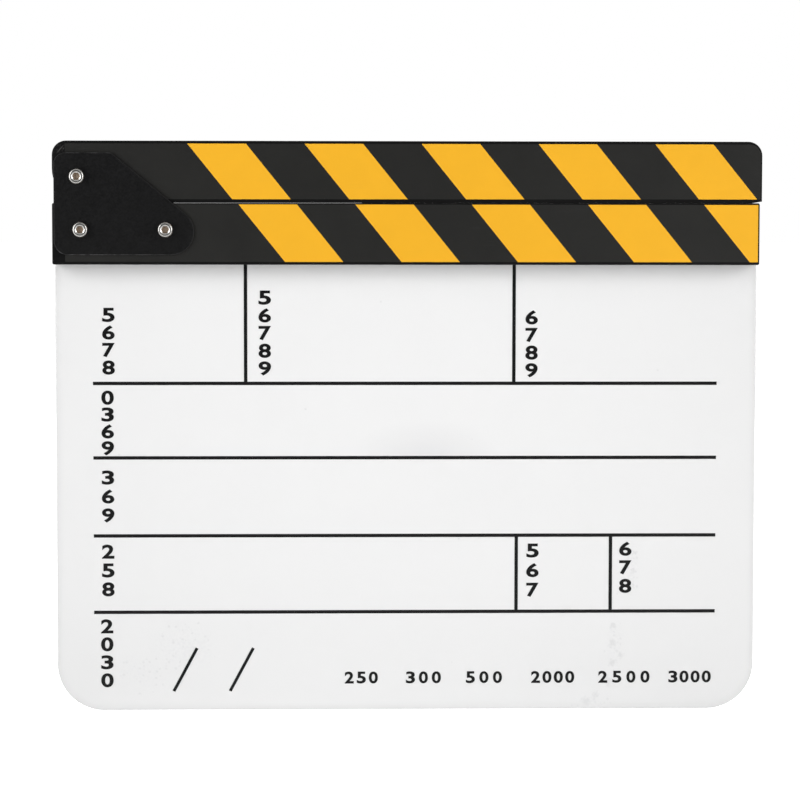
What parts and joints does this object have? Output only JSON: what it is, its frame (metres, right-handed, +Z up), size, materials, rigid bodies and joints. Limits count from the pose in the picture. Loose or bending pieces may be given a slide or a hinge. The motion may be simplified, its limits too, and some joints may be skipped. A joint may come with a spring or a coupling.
{
  "type": "clapperboard",
  "caption": "Film clapperboard: a ruled white acrylic slate under a pair of black and yellow striped sticks, bolted to a plate hinge so that the upper stick swings up and claps down.",
  "frame": {"origin": "middle of the slate's bottom edge, halfway through the thickness of the sheet", "axes": "+X to the right along the sticks, from the hinge to the free end; +Z up the slate; the written side faces -Y"},
  "size_m": [0.301, 0.0274, 0.2442],
  "materials": {
    "white_acrylic": "opal white acrylic sheet, glossy, lightly smudged",
    "print_ink": "black screen print",
    "black_stick": "black satin paint",
    "dark_film": "charcoal self-adhesive vinyl, satin",
    "yellow_film": "golden yellow self-adhesive vinyl, satin",
    "black_plate": "fine textured black powder coat",
    "steel": "bright stainless steel",
    "nylon": "natural nylon",
    "brass": "turned brass"
  },
  "bodies": {
    "slate": {"slate_board": "white_acrylic", "slate_grid_print": "print_ink", "lower_stick": "black_stick", "lower_stripe_film": "dark_film", "lower_yellow_stripes": "yellow_film", "front_hinge_plate": "black_plate", "rear_hinge_plate": "black_plate", "pivot_bolt": "steel", "pivot_front_washer": "nylon", "pivot_rear_spacer": "nylon", "pivot_nut_washer": "steel", "pivot_nut": "steel", "pivot_nut_insert": "nylon", "stick_bolts": "steel", "stick_nut_washers": "steel", "stick_nuts": "steel", "stick_nut_inserts": "nylon", "board_screws": "steel", "board_screw_washers": "steel"},
    "clapper": {"upper_stick": "black_stick", "upper_stripe_film": "dark_film", "upper_yellow_stripes": "yellow_film", "pivot_bush": "brass"}
  },
  "joints": [
    {"name": "clap", "type": "hinge", "parent": "slate", "child": "clapper", "pos_m": [-0.1396, 0, 0.2291], "axis": [0, -1, 0], "range_deg": [0, 90]}
  ]
}
